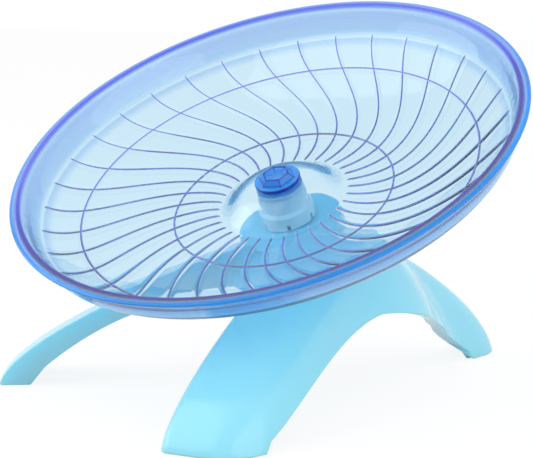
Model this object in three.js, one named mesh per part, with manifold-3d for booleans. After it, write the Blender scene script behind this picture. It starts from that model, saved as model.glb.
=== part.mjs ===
// Flying saucer wheel for a small pet: a ribbed blue dish on a tilted axle over a three-legged stand.
// Millimetres, +Z up. The dish leans toward -Y, and the feet stand on z = 0.
import * as THREE from 'three';
import { mergeVertices } from 'three/addons/utils/BufferGeometryUtils.js';
import Module from 'manifold-3d';

const wasm = await Module();
wasm.setup();

// Driving dimensions of the whole wheel
const rimRadius = 90;
const bowlDepth = 25.7;
const lean = THREE.MathUtils.degToRad(29.5);
const pivotHeight = 61.1;
const pivotDrop = 28;
const frameShift = 12.1;
const fit = 0.3;
const runningGap = 0.9;
const overrun = 1;
const weldReach = 1e-5;

// Dish: wall, rim, floor and dome
const dishWall = 2.1;
const rimWidth = 4;
const rimEase = 0.7;
const rimSlope = 0.4;
const rimLipDrop = 1.5;
const rimLipReach = 2.6;
const domeRadius = 23;
const domeRise = 6.6;
const domeEase = 1.3;
const plateauRadius = 9;
const floorRadius = 32;
const flareRadius = 82;
const flareHeight = 9.3;
const flareShare = 0.15;
const flarePower = 6;

// Ribs and ring beads on the dish's running face
const ribCount = 34;
const ribWidth = 0.9;
const ribHeight = 0.6;
const ribInnerRadius = 22.3;
const ribOuterRadius = 82;
const ribEnd = 1;
const ribSweep = THREE.MathUtils.degToRad(25.3);
const ribHook = THREE.MathUtils.degToRad(2.1);
const ribHookRadius = 29;
const ribPhase = THREE.MathUtils.degToRad(2.9);
const beadRadii = [38.9, 69.9];
const beadWidth = 1;
const beadHeight = 0.5;

// Hub cap with its hexagonal head and the stub that reaches into the housing
const capRadius = 8;
const capThickness = 1.5;
const capEase = 0.4;
const hexAcross = 10.9;
const hexTopAcross = 8.2;
const hexHeight = 2;
const hexPhase = THREE.MathUtils.degToRad(10);
const stubRadius = 5;
const stubLength = 4.6;
const stubBore = 2.2;

// Ball bearing, 5 mm bore and 16 mm outside
const bearingBore = 5;
const bearingOutside = 16;
const bearingWidth = 5;
const ballCount = 7;
const ballRadius = 1.35;
const raceGap = 0.2;
const raceShoulder = 0.95;
const cageWidth = 0.9;
const cageHeight = 1.75;
const shieldThickness = 0.3;
const shieldRecess = 0.65;
const shieldInset = 1.4;

// Milky housing that holds the bearing under the dish
const housingRadius = 8.1;
const housingTop = 1.5;
const cavityRadius = 6.7;
const collarWall = 1.1;
const lipHeight = 0.8;
const lipReach = 0.7;
const fingerCount = 6;
const fingerSlot = 1.2;
const fingerLength = 3.2;

// Axle, its nut and the two washers
const nutRadius = 3.8;
const nutHeight = 3.4;
const nutCrown = 0.9;
const washerThickness = 0.6;
const washerRadius = 4.1;
const axleEmbed = 11;

// Stand: feet, legs, arches and tilted boss
const standWall = 2.4;
const crownHeight = 51.5;
const standCentre = [13.2, 3.7];
const legTaperShare = 0.45;
const frontTaperShare = 0.38;
const rightTaperShare = 0.29;
const footDepth = 10.9;
const rightFootDepth = 15.2;
const rightFootBackDepth = 5;
const legs = [
  {
    azimuth: THREE.MathUtils.degToRad(5.6),
    reach: 106.9,
    halfWidth: 20,
    sideReach: 11.4,
    taperShares: [legTaperShare, frontTaperShare],
    footDepths: [footDepth, footDepth],
  },
  {
    azimuth: THREE.MathUtils.degToRad(161.3),
    reach: 77.4,
    halfWidth: 10.2,
    sideReach: -1.5,
    taperShares: [rightTaperShare, 0],
    footDepths: [rightFootDepth, rightFootBackDepth],
  },
  {
    azimuth: THREE.MathUtils.degToRad(306.1),
    reach: 110.5,
    halfWidth: 16.5,
    sideReach: -16.2,
    taperShares: [legTaperShare, 0],
    footDepths: [footDepth, footDepth],
  },
];
const shoulder = {
  azimuth: THREE.MathUtils.degToRad(141),
  reach: 37.3,
  halfWidth: 7.2,
  sideReach: 0,
  taperShares: [0, 0],
};
const arches = [
  { rise: 29.3, startPower: 1.32, endPower: 1.66 },
  { rise: 36, startPower: 4.8, endPower: 2.18 },
  { rise: 31.6, startPower: 2.84, endPower: 1.2 },
];
const legSquareness = 4.2;
const legBlend = 3.44;
const footSole = 2.2;
const profileDropShare = 0.74;
const profilePower = 1.57;
const profileHeight = 45;
const leastReach = 1;
const wedgeReach = 160;
const wedgeShares = [0, 0.5, 1];
const coreRadius = 39.2;
const coreHeight = 51.9;
const bossRadius = 18.5;
const bossDepth = 16;
const seatRadius = 4.4;
const seatHeight = 0.9;
const stemRadius = 6;
const stemLength = 12.5;

// Fineness of the round forms
const roundSegments = 32;
const smallSegments = 24;
const ballSegments = 10;
const ballRings = 6;
const grooveSteps = 4;
const domeStep = 3.4;
const faceStep = 7;
const undersideStep = 12;
const archSteps = 14;
const standRows = 11;
const armSteps = 14;
const footTurnShares = [0, 0.55, 0.8, 0.95, 1.1, 1.35, 1.8, 2.6];

// Heights along the axle, from the rim's plane downward
const plateauHeight = -(bowlDepth - domeRise);
const capBottom = plateauHeight + fit;
const capTop = capBottom + capThickness;
const stubBottom = capBottom - stubLength;
const housingTopHeight = plateauHeight - dishWall - fit;
const nutTop = stubBottom - runningGap;
const nutBottom = nutTop - nutHeight;
const nutWasherTop = nutBottom - fit;
const bearingTop = nutWasherTop - washerThickness - fit;
const bearingMiddle = bearingTop - bearingWidth / 2;
const bearingBottom = bearingTop - bearingWidth;
const cavityBottom = bearingTop + fit;
const collarBottom = bearingBottom - fit - lipHeight;
const seatWasherTop = bearingBottom - fit;
const seatTop = seatWasherTop - washerThickness - fit;
const bossTop = seatTop - seatHeight;
const axleTop = nutTop - nutCrown - fit;
const axleBottom = seatTop - axleEmbed;
const axleRadius = bearingBore / 2 - fit;
const collarRadius = bearingOutside / 2 + fit + collarWall;

// Turns a three.js geometry into one welded closed mesh
function weld(geometry) {
  geometry.deleteAttribute('normal');
  geometry.deleteAttribute('uv');
  return mergeVertices(geometry, weldReach);
}

// Turns a geometry into a solid for cutting and joining
function solid(geometry) {
  const closed = weld(geometry);
  const mesh = new wasm.Mesh({
    numProp: 3,
    vertProperties: new Float32Array(closed.attributes.position.array),
    triVerts: new Uint32Array(closed.index.array),
  });
  return new wasm.Manifold(mesh);
}

// Turns a cut or joined solid back into a geometry
function geometryOf(body) {
  const mesh = body.getMesh();
  const geometry = new THREE.BufferGeometry();
  geometry.setAttribute('position', new THREE.BufferAttribute(mesh.vertProperties, 3));
  geometry.setIndex(new THREE.BufferAttribute(mesh.triVerts, 1));
  return geometry;
}

// Revolves a list of [radius, height] points about the Z axis
function lathe(points, segments = roundSegments) {
  const profile = points.map(([radius, height]) => new THREE.Vector2(radius, height));
  return new THREE.LatheGeometry(profile, segments).rotateX(Math.PI / 2);
}

// A solid disc or drum between two heights
function drum(radius, bottom, top, segments = roundSegments) {
  return lathe([[0, bottom], [radius, bottom], [radius, top], [0, top]], segments);
}

// A plain ring between two radii and two heights
function ring(inner, outer, bottom, top, segments = roundSegments) {
  return lathe([[inner, bottom], [outer, bottom], [outer, top], [inner, top], [inner, bottom]], segments);
}

function smoothstep(value, low, high) {
  const share = THREE.MathUtils.clamp((value - low) / (high - low), 0, 1);
  return share * share * (3 - 2 * share);
}

// Closes a grid of points into a mesh; the columns run round, and the rows close on themselves or not
function gridMesh(rows, rowsClose) {
  const columns = rows[0].length;
  const positions = rows.flat().flat();
  const triangles = [];
  const rowSpans = rowsClose ? rows.length : rows.length - 1;
  for (let row = 0; row < rowSpans; row += 1) {
    const nextRow = (row + 1) % rows.length;
    for (let column = 0; column < columns; column += 1) {
      const nextColumn = (column + 1) % columns;
      const near = row * columns + column;
      const nearNext = row * columns + nextColumn;
      const far = nextRow * columns + column;
      const farNext = nextRow * columns + nextColumn;
      triangles.push(near, nearNext, farNext, near, farNext, far);
    }
  }
  const geometry = new THREE.BufferGeometry();
  geometry.setAttribute('position', new THREE.Float32BufferAttribute(positions, 3));
  geometry.setIndex(triangles);
  return geometry;
}

// How far a rib has turned from its inner end when it reaches a radius
function ribTurn(radius) {
  const hookShare = THREE.MathUtils.clamp((ribHookRadius - radius) / (ribHookRadius - ribInnerRadius), 0, 1);
  const dip = -ribHook * (1 - hookShare * hookShare);
  return dip + ribSweep * smoothstep(radius, ribHookRadius, ribOuterRadius);
}

// Height of the dish's running face from the hub out to the flare
function faceHeight(radius) {
  const domeReach = THREE.MathUtils.clamp((radius - plateauRadius) / (domeRadius - plateauRadius), 0, 1);
  const dome = domeRise * (1 - smoothstep(Math.pow(domeReach, domeEase), 0, 1));
  const reach = Math.max(0, radius - floorRadius) / (flareRadius - floorRadius);
  const curl = (1 - flareShare) * reach * reach + flareShare * Math.pow(reach, flarePower);
  return -bowlDepth + dome + (bowlDepth - flareHeight) * curl;
}

// Height of the dish's underside, one wall's thickness below the running face along its slope
function undersideHeight(radius) {
  const slope = (faceHeight(radius + fit) - faceHeight(radius - fit)) / (2 * fit);
  return faceHeight(radius) - dishWall * Math.hypot(1, slope);
}

// Fills the gaps in a list of radii so that no step is longer than the given one
function spread(stations, step) {
  const radii = [...new Set(stations)].sort((first, second) => first - second);
  return radii.flatMap((radius, index) => {
    if (index === 0) {
      return [radius];
    }
    const gap = radius - radii[index - 1];
    const count = Math.ceil(gap / step);
    return Array.from({ length: count }, (_, at) => radius - gap * (count - 1 - at) / count);
  });
}

// Radii of the running face's rows, with their own at the ribs' ends and the beads' edges
function faceRadii() {
  const dome = spread([stubRadius + fit, plateauRadius, ribInnerRadius], domeStep);
  const edges = beadRadii.flatMap((radius) => [radius - beadWidth / 2, radius, radius + beadWidth / 2]);
  const ribEnds = [ribInnerRadius, ribInnerRadius + ribEnd, ribOuterRadius - ribEnd, ribOuterRadius];
  return [...new Set([...dome, ...spread([...ribEnds, ribHookRadius, ...edges, flareRadius], faceStep)])];
}

// The dish's section from the hub hole out over the face and back under it
function dishSection() {
  const section = faceRadii().map((radius) => {
    const onRib = radius >= ribInnerRadius && radius <= ribOuterRadius;
    const onCrest = radius > ribInnerRadius && radius < ribOuterRadius;
    const crest = onCrest ? 1 : 0;
    const bead = beadRadii.includes(radius) ? 1 : 0;
    return { radius, height: faceHeight(radius), onRib, crest, bead };
  });
  const plain = (radius, height) => section.push({ radius, height, onRib: false, crest: 0, bead: 0 });
  const rimInner = rimRadius - rimWidth;
  plain(rimInner - 2 * rimEase, -flareHeight / 2);
  plain(rimInner - rimEase / 2, -2 * rimEase);
  plain(rimInner + rimEase / 2, 0);
  plain(rimRadius - rimEase, 0);
  plain(rimRadius, -rimEase);
  plain(rimRadius - rimSlope, -rimLipDrop);
  plain(rimRadius - rimLipReach, -2 * rimLipDrop);
  plain(flareRadius + dishWall * 3 / 2, -flareHeight);
  const dome = spread([stubRadius + fit, plateauRadius, domeRadius], 2 * domeStep);
  const under = [...dome, ...spread([domeRadius, floorRadius, flareRadius], undersideStep).slice(1)];
  for (const radius of under.reverse()) {
    plain(radius, undersideHeight(radius));
  }
  return section;
}

// Dish: one moulding with its ribs, ring beads, rim and dome
function dishGeometry() {
  const pitch = 2 * Math.PI / ribCount;
  const rows = dishSection().reverse().map(({ radius, height, onRib, crest, bead }) => {
    const halfTurn = onRib ? ribWidth / 2 / radius : pitch / 3;
    const row = [];
    for (let index = 0; index < ribCount; index += 1) {
      const centre = ribPhase + index * pitch + ribTurn(radius);
      for (const side of [-1, 0, 1]) {
        const angle = centre + side * halfTurn;
        const lift = Math.max(side === 0 ? crest * ribHeight : 0, bead * beadHeight);
        row.push([radius * Math.cos(angle), radius * Math.sin(angle), height + lift]);
      }
    }
    return row;
  });
  return gridMesh(rows, true);
}

// Hub cap: round flange, tapered hexagonal head above, hollow stub below
function hubCapGeometry() {
  const flange = solid(lathe([
    [0, stubBottom + stubLength / 2],
    [stubBore, stubBottom + stubLength / 2],
    [stubBore, stubBottom],
    [stubRadius, stubBottom],
    [stubRadius, capBottom],
    [capRadius, capBottom],
    [capRadius, capTop - capEase],
    [capRadius - capEase, capTop],
    [0, capTop],
  ]));
  const cornerShare = 1 / Math.sqrt(3);
  const head = solid(lathe([
    [0, capTop - capEase],
    [hexAcross * cornerShare, capTop - capEase],
    [hexAcross * cornerShare, capTop],
    [hexTopAcross * cornerShare, capTop + hexHeight],
    [0, capTop + hexHeight],
  ], 6).rotateZ(hexPhase));
  return geometryOf(flange.add(head));
}

// Bearing rings, with a ball groove each and counterbores for the shields in the outer one
const pitchRadius = (bearingBore + bearingOutside) / 4;
const grooveRadius = ballRadius + raceGap;

function groovePoints(side) {
  const half = Math.acos(raceShoulder / grooveRadius);
  const points = [];
  for (let step = 0; step <= grooveSteps; step += 1) {
    const angle = half * (1 - 2 * step / grooveSteps);
    points.push([pitchRadius + side * grooveRadius * Math.cos(angle), grooveRadius * Math.sin(angle)]);
  }
  return points;
}

function outerRaceGeometry() {
  const half = bearingWidth / 2;
  const outside = bearingOutside / 2;
  const recess = outside - shieldInset + fit;
  const shoulder = pitchRadius + raceShoulder;
  const profile = [
    [outside, -half],
    [outside, half],
    [recess, half],
    [recess, half - shieldRecess],
    [shoulder, half - shieldRecess],
    ...groovePoints(1),
    [shoulder, shieldRecess - half],
    [recess, shieldRecess - half],
    [recess, -half],
    [outside, -half],
  ];
  return lathe(profile);
}

function innerRaceGeometry() {
  const half = bearingWidth / 2;
  const bore = bearingBore / 2;
  const shoulder = pitchRadius - raceShoulder;
  const profile = [
    [bore, half],
    [bore, -half],
    [shoulder, -half],
    ...groovePoints(-1).reverse(),
    [shoulder, half],
    [bore, half],
  ];
  return lathe(profile, smallSegments);
}

function ballPlace(index) {
  const angle = index * 2 * Math.PI / ballCount;
  return [pitchRadius * Math.cos(angle), pitchRadius * Math.sin(angle)];
}

function ballGeometry(index, radius) {
  const [x, y] = ballPlace(index);
  return new THREE.SphereGeometry(radius, ballSegments, ballRings).rotateX(Math.PI / 2).translate(x, y, 0);
}

// Crown cage: a ring below the balls' middle with one open pocket for each ball
function cageGeometry() {
  const top = -raceGap;
  const inner = pitchRadius - cageWidth / 2;
  let cage = solid(ring(inner, inner + cageWidth, top - cageHeight, top));
  for (let index = 0; index < ballCount; index += 1) {
    cage = cage.subtract(solid(ballGeometry(index, grooveRadius)));
  }
  return geometryOf(cage);
}

function shieldGeometry(side) {
  const inner = bearingWidth / 2 - shieldRecess + fit;
  const outer = inner + shieldThickness;
  const low = Math.min(side * inner, side * outer);
  const high = Math.max(side * inner, side * outer);
  return ring(pitchRadius - raceShoulder + fit, bearingOutside / 2 - shieldInset, low, high);
}

// Housing: closed sleeve round the nut, and a slotted snap collar round the bearing
function housingGeometry() {
  const bearingHole = bearingOutside / 2 + fit;
  let housing = solid(lathe([
    [stubRadius + fit, housingTopHeight],
    [stubRadius + fit, housingTopHeight - housingTop],
    [cavityRadius, housingTopHeight - housingTop],
    [cavityRadius, cavityBottom],
    [bearingHole, cavityBottom],
    [bearingHole, bearingBottom - fit],
    [bearingHole - lipReach, bearingBottom - fit],
    [bearingHole - lipReach / 2, collarBottom],
    [collarRadius, collarBottom],
    [collarRadius, bearingTop],
    [housingRadius, bearingTop + collarWall],
    [housingRadius, housingTopHeight],
    [stubRadius + fit, housingTopHeight],
  ]));
  const slotSpan = 2 * (collarRadius + overrun);
  for (let index = 0; index < fingerCount / 2; index += 1) {
    const slot = new THREE.BoxGeometry(slotSpan, fingerSlot, fingerLength + overrun);
    slot.translate(0, 0, collarBottom + (fingerLength - overrun) / 2);
    slot.rotateZ(index * 2 * Math.PI / fingerCount);
    housing = housing.subtract(solid(slot));
  }
  return geometryOf(housing);
}

// Push-on nut, closed at the top, over the axle's end
function nutGeometry() {
  const bore = axleRadius + fit;
  return lathe([
    [0, nutTop - nutCrown],
    [bore, nutTop - nutCrown],
    [bore, nutBottom],
    [nutRadius, nutBottom],
    [nutRadius, nutTop - capEase],
    [nutRadius - capEase, nutTop],
    [0, nutTop],
  ], smallSegments);
}

// Stand's outline: three square-ended legs and a shoulder blended into a round core.
// Each leg's pairs of values are for its clockwise side and then its counterclockwise side.
function reachShare(height) {
  return 1 - profileDropShare * Math.pow(height / profileHeight, profilePower);
}

function legOutline(leg, angle, height, inset) {
  const reach = Math.max(leastReach, leg.reach * reachShare(height + inset) - inset);
  const turn = angle - leg.azimuth;
  const along = Math.cos(turn);
  const side = Math.sign(Math.sin(turn));
  const taperShare = leg.taperShares[side > 0 ? 1 : 0] * height / crownHeight;
  const sideWidth = Math.max(leastReach, (leg.halfWidth + side * leg.sideReach) * (1 - taperShare) - inset);
  if (along <= 0) {
    return sideWidth * (1 - along * along);
  }
  const across = Math.abs(Math.sin(turn));
  const sum = Math.pow(along / reach, legSquareness) + Math.pow(across / sideWidth, legSquareness);
  return Math.pow(sum, -1 / legSquareness);
}

function outlineRadius(angle, height, inset) {
  const coreShare = Math.max(0, 1 - Math.pow((height + inset) / coreHeight, 2));
  const core = Math.max(leastReach, coreRadius * Math.sqrt(coreShare) - inset);
  let sum = Math.pow(core, legBlend);
  for (const leg of [...legs, shoulder]) {
    sum += Math.pow(legOutline(leg, angle, height, inset), legBlend);
  }
  return Math.pow(sum, 1 / legBlend);
}

// Directions round the stand, close together at the legs' ends and corners
function outlineAngles() {
  const angles = [];
  legs.forEach((leg, index) => {
    const next = legs[(index + 1) % legs.length];
    const nextAzimuth = next.azimuth + (index === legs.length - 1 ? 2 * Math.PI : 0);
    const cornerTurn = Math.atan((leg.halfWidth + leg.sideReach) / leg.reach);
    const nextTurn = Math.atan((next.halfWidth - next.sideReach) / next.reach);
    for (const share of footTurnShares) {
      angles.push(leg.azimuth + share * cornerTurn);
    }
    const start = angles.at(-1);
    const end = nextAzimuth - footTurnShares.at(-1) * nextTurn;
    const steps = Math.ceil(armSteps * (end - start) / Math.PI) + 1;
    for (let step = 1; step < steps; step += 1) {
      angles.push(start + (end - start) * step / steps);
    }
    for (const share of footTurnShares.slice(1).reverse()) {
      angles.push(nextAzimuth - share * nextTurn);
    }
  });
  return angles;
}

function standLoft(inset) {
  const top = crownHeight - inset;
  const angles = outlineAngles();
  const rows = [];
  for (let row = 0; row <= standRows; row += 1) {
    const bottom = inset > 0 ? -overrun : 0;
    const height = row === 0 ? bottom : top * Math.sin(row / standRows * Math.PI / 2);
    rows.push(angles.map((angle) => {
      const radius = outlineRadius(angle, Math.max(0, height), inset);
      return [standCentre[0] + radius * Math.sin(angle), standCentre[1] - radius * Math.cos(angle), height];
    }));
  }
  const bottomCentre = [...standCentre, rows[0][0][2]];
  const topCentre = [...standCentre, top];
  const columns = angles.length;
  rows.unshift(Array(columns).fill(bottomCentre));
  rows.push(Array(columns).fill(topCentre));
  return solid(dropFlat(gridMesh(rows, false)));
}

// Leaves out the triangles that have no area where a row is a single point
function dropFlat(geometry) {
  const welded = mergeVertices(geometry, weldReach);
  const kept = [];
  const index = welded.index.array;
  for (let at = 0; at < index.length; at += 3) {
    const [a, b, c] = [index[at], index[at + 1], index[at + 2]];
    if (a !== b && b !== c && c !== a) {
      kept.push(a, b, c);
    }
  }
  welded.setIndex(kept);
  return welded;
}

// Moves a body from the axle's own frame, with heights from the rim's plane, to its leaning place
function placed(geometry) {
  return geometry.translate(0, 0, pivotDrop).rotateX(lean).translate(0, 0, pivotHeight);
}

// Inner corner of a leg's foot on its counterclockwise (1) or clockwise (-1) side
function footCorner(leg, side) {
  const reach = leg.reach - leg.footDepths[side > 0 ? 1 : 0];
  const sideways = side * leg.halfWidth + leg.sideReach;
  return new THREE.Vector2(
    standCentre[0] + reach * Math.sin(leg.azimuth) + sideways * Math.cos(leg.azimuth),
    standCentre[1] - reach * Math.cos(leg.azimuth) + sideways * Math.sin(leg.azimuth),
  );
}

// Wedge of the floor plan from one leg's middle to the next one's
function betweenLegs(leg, next) {
  const turn = THREE.MathUtils.euclideanModulo(next.azimuth - leg.azimuth, 2 * Math.PI);
  const shape = new THREE.Shape();
  shape.moveTo(...standCentre);
  wedgeShares.forEach((share) => {
    const angle = leg.azimuth + turn * share;
    const acrossX = wedgeReach * Math.sin(angle);
    const acrossY = wedgeReach * Math.cos(angle);
    shape.lineTo(standCentre[0] + acrossX, standCentre[1] - acrossY);
  });
  shape.closePath();
  const depth = crownHeight + 2 * overrun;
  const geometry = new THREE.ExtrudeGeometry(shape, { depth, bevelEnabled: false });
  return geometry.translate(0, 0, -2 * overrun);
}

// Arched opening under the shell between two neighbouring legs
function archGeometry(leg, next, arch) {
  const start = footCorner(leg, 1);
  const end = footCorner(next, -1);
  const span = start.distanceTo(end);
  const shape = new THREE.Shape();
  shape.moveTo(-span / 2, -overrun);
  shape.lineTo(span / 2, -overrun);
  for (let step = 0; step <= archSteps; step += 1) {
    const share = 1 - 2 * step / archSteps;
    const power = share < 0 ? arch.startPower : arch.endPower;
    const rise = (arch.rise - footSole) * (1 - Math.pow(Math.abs(share), power));
    shape.lineTo(share * span / 2, footSole + rise);
  }
  shape.closePath();
  const along = end.clone().sub(start).normalize();
  const outward = new THREE.Vector2(along.y, -along.x);
  const middle = start.clone().add(end).multiplyScalar(1 / 2);
  const geometry = new THREE.ExtrudeGeometry(shape, { depth: 2 * wedgeReach, bevelEnabled: false });
  geometry.translate(0, 0, -wedgeReach);
  const basis = new THREE.Matrix4().makeBasis(
    new THREE.Vector3(along.x, along.y, 0),
    new THREE.Vector3(0, 0, 1),
    new THREE.Vector3(outward.x, outward.y, 0),
  );
  basis.setPosition(middle.x, middle.y, 0);
  return geometry.applyMatrix4(basis);
}

// Stand: hollow three-legged shell, tilted boss with a seat, and a stem that grips the axle
function standGeometry() {
  const above = bossTop + 2 * bossDepth;
  const below = bossTop - bossDepth;
  const innerTop = bossTop - standWall;
  let outer = standLoft(0).subtract(solid(placed(drum(bossRadius, bossTop, above))));
  outer = outer.add(solid(placed(drum(bossRadius, below, bossTop))));
  let inner = standLoft(standWall);
  inner = inner.subtract(solid(placed(drum(bossRadius + standWall, innerTop, above))));
  inner = inner.add(solid(placed(drum(bossRadius - standWall, below, innerTop))));
  let stand = outer.subtract(inner);
  legs.forEach((leg, index) => {
    const next = legs[(index + 1) % legs.length];
    const opening = solid(archGeometry(leg, next, arches[index])).intersect(solid(betweenLegs(leg, next)));
    stand = stand.subtract(opening);
  });
  const stem = solid(placed(drum(stemRadius, seatTop - stemLength, innerTop + overrun, smallSegments)));
  const seat = solid(placed(drum(seatRadius, innerTop, seatTop, smallSegments)));
  const bore = solid(placed(drum(axleRadius + fit, axleBottom - fit, seatTop + overrun, smallSegments)));
  stand = stand.add(stem).add(seat).subtract(bore);
  return geometryOf(stand);
}

// Materials by the colours in the photo
const finish = (color, roughness, metalness) => ({ color, roughness, metalness });
const blueClear = finish(0x4fa3e8, 0.15, 0);
const deepBlue = finish(0x1f5fd6, 0.2, 0);
const milky = finish(0xd3e8ec, 0.4, 0);
const cyan = finish(0x7fd9f2, 0.25, 0);
const teal = finish(0x4bb4cd, 0.3, 0);
const steel = finish(0xc3c7cb, 0.25, 1);
const darkSteel = finish(0x8f959c, 0.35, 1);
const nylon = finish(0xe6e1d2, 0.5, 0);

const wheel = new THREE.Group();
wheel.name = 'flying_saucer_wheel';

function addPiece(name, geometry, look) {
  const centred = weld(geometry).translate(0, frameShift, 0);
  const mesh = new THREE.Mesh(centred, new THREE.MeshStandardMaterial(look));
  mesh.name = name;
  mesh.geometry.computeVertexNormals();
  wheel.add(mesh);
}

const atBearing = (geometry) => geometry.translate(0, 0, bearingMiddle);

// Pieces that turn with the dish
addPiece('running_dish', placed(dishGeometry()), blueClear);
addPiece('hub_cap', placed(hubCapGeometry()), deepBlue);
addPiece('hub_housing', placed(housingGeometry()), milky);
addPiece('outer_race', placed(atBearing(outerRaceGeometry())), steel);
addPiece('upper_shield', placed(atBearing(shieldGeometry(1))), darkSteel);
addPiece('lower_shield', placed(atBearing(shieldGeometry(-1))), darkSteel);

// Cage and balls, which go round at their own speed
addPiece('bearing_cage', placed(atBearing(cageGeometry())), nylon);
for (let index = 0; index < ballCount; index += 1) {
  addPiece(`ball_${index + 1}`, placed(atBearing(ballGeometry(index, ballRadius))), steel);
}

// Pieces that stay with the stand
function washer(top) {
  return ring(axleRadius + fit, washerRadius, top - washerThickness, top, smallSegments);
}

addPiece('inner_race', placed(atBearing(innerRaceGeometry())), steel);
addPiece('nut_washer', placed(washer(nutWasherTop)), steel);
addPiece('seat_washer', placed(washer(seatWasherTop)), steel);
addPiece('axle', placed(drum(axleRadius, axleBottom, axleTop, smallSegments)), darkSteel);
addPiece('axle_nut', placed(nutGeometry()), teal);
addPiece('stand', standGeometry(), cyan);

export default wheel;
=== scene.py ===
"""Flying saucer wheel: fine visual pieces, materials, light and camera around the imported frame."""
import math

import bpy
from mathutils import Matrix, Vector


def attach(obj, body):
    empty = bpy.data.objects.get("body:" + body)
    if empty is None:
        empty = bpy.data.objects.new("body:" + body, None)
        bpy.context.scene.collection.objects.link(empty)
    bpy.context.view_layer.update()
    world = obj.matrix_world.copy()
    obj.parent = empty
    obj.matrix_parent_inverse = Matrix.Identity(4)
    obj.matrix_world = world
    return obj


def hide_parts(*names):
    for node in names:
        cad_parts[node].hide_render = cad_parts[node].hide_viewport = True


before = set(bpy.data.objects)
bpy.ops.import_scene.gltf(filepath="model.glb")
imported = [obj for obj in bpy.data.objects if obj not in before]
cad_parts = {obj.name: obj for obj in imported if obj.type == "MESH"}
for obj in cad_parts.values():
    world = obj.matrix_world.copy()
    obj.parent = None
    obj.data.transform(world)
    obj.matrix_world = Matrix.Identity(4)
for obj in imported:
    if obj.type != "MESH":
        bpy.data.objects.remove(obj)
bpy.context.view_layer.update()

# Sizes are in millimetres, and are turned into metres where an object is made
MM = 0.001
FULL_TURN = 2 * math.pi

# Driving dimensions, the same as in the solids
RIM_RADIUS = 90
BOWL_DEPTH = 25.7
LEAN = math.radians(29.5)
PIVOT_HEIGHT = 61.1
PIVOT_DROP = 28
FRAME_SHIFT = 12.1
FIT = 0.3
RUNNING_GAP = 0.9

# Dish
DISH_WALL = 2.1
RIM_WIDTH = 4
RIM_EASE = 0.7
RIM_SLOPE = 0.4
RIM_LIP_DROP = 1.5
RIM_LIP_REACH = 2.6
DOME_RADIUS = 23
DOME_RISE = 6.6
DOME_EASE = 1.3
PLATEAU_RADIUS = 9
FLOOR_RADIUS = 32
FLARE_RADIUS = 82
FLARE_HEIGHT = 9.3
FLARE_SHARE = 0.15
FLARE_POWER = 6
OUTER_WALL_SHARE = 1.5

# Ribs and ring beads, a little lower than in the solids
RIB_COUNT = 34
RIB_WIDTH = 0.9
RIB_HEIGHT = 0.42
RIB_INNER_RADIUS = 22.3
RIB_OUTER_RADIUS = 82
RIB_END = 1.4
RIB_SWEEP = math.radians(25.3)
RIB_HOOK = math.radians(2.1)
RIB_HOOK_RADIUS = 29
RIB_PHASE = math.radians(2.9)
BEAD_RADII = (38.9, 69.9)
BEAD_WIDTH = 1
BEAD_HEIGHT = 0.4

# Hub cap
CAP_RADIUS = 8
CAP_THICKNESS = 1.5
CAP_EASE = 0.4
HEX_ACROSS = 10.9
HEX_TOP_ACROSS = 8.2
HEX_HEIGHT = 2
HEX_PHASE = math.radians(10)
HEX_EASE = 0.45
HEX_SIDES = 6
HEX_LINE = math.radians(5)
HEX_DISH = 0.9
STUB_RADIUS = 5
STUB_LENGTH = 4.6
STUB_BORE = 2.2

# Bearing, housing and nut
BEARING_OUTSIDE = 16
BEARING_WIDTH = 5
BEARING_BORE = 5
HOUSING_RADIUS = 8.1
HOUSING_TOP = 1.5
CAVITY_RADIUS = 6.7
COLLAR_WALL = 1.1
LIP_HEIGHT = 0.8
LIP_REACH = 0.7
FINGER_COUNT = 6
FINGER_SLOT = 1.2
FINGER_LENGTH = 3.2
NUT_RADIUS = 3.8
NUT_HEIGHT = 3.4
NUT_CROWN = 0.9
WASHER_THICKNESS = 0.6

# Stand
STAND_WALL = 2.4
CROWN_HEIGHT = 51.5
STAND_CENTRE = (13.2, 3.7)
LEG_TAPER_SHARE = 0.45
FRONT_TAPER_SHARE = 0.38
RIGHT_TAPER_SHARE = 0.29
FOOT_DEPTH = 10.9
RIGHT_FOOT_DEPTH = 15.2
RIGHT_FOOT_BACK_DEPTH = 5
LEGS = (
    {
        "azimuth": math.radians(5.6),
        "reach": 106.9,
        "half_width": 20,
        "side_reach": 11.4,
        "taper_shares": (LEG_TAPER_SHARE, FRONT_TAPER_SHARE),
        "foot_depths": (FOOT_DEPTH, FOOT_DEPTH),
    },
    {
        "azimuth": math.radians(161.3),
        "reach": 77.4,
        "half_width": 10.2,
        "side_reach": -1.5,
        "taper_shares": (RIGHT_TAPER_SHARE, 0),
        "foot_depths": (RIGHT_FOOT_DEPTH, RIGHT_FOOT_BACK_DEPTH),
    },
    {
        "azimuth": math.radians(306.1),
        "reach": 110.5,
        "half_width": 16.5,
        "side_reach": -16.2,
        "taper_shares": (LEG_TAPER_SHARE, 0),
        "foot_depths": (FOOT_DEPTH, FOOT_DEPTH),
    },
)
SHOULDER = {
    "azimuth": math.radians(141),
    "reach": 37.3,
    "half_width": 7.2,
    "side_reach": 0,
    "taper_shares": (0, 0),
}
ARCHES = (
    {"rise": 29.3, "start_power": 1.32, "end_power": 1.66},
    {"rise": 36, "start_power": 4.8, "end_power": 2.18},
    {"rise": 31.6, "start_power": 2.84, "end_power": 1.2},
)
LEG_SQUARENESS = 4.2
LEG_BLEND = 3.44
FOOT_SOLE = 2.2
PROFILE_DROP_SHARE = 0.74
PROFILE_POWER = 1.57
PROFILE_HEIGHT = 45
LEAST_REACH = 1
CORE_RADIUS = 39.2
CORE_HEIGHT = 51.9
BOSS_RADIUS = 18.5
BOSS_DEPTH = 16
BOSS_EASE = 0.8
SEAT_RADIUS = 4.4
SEAT_HEIGHT = 0.9
STEM_RADIUS = 6
STEM_LENGTH = 12.5
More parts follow.
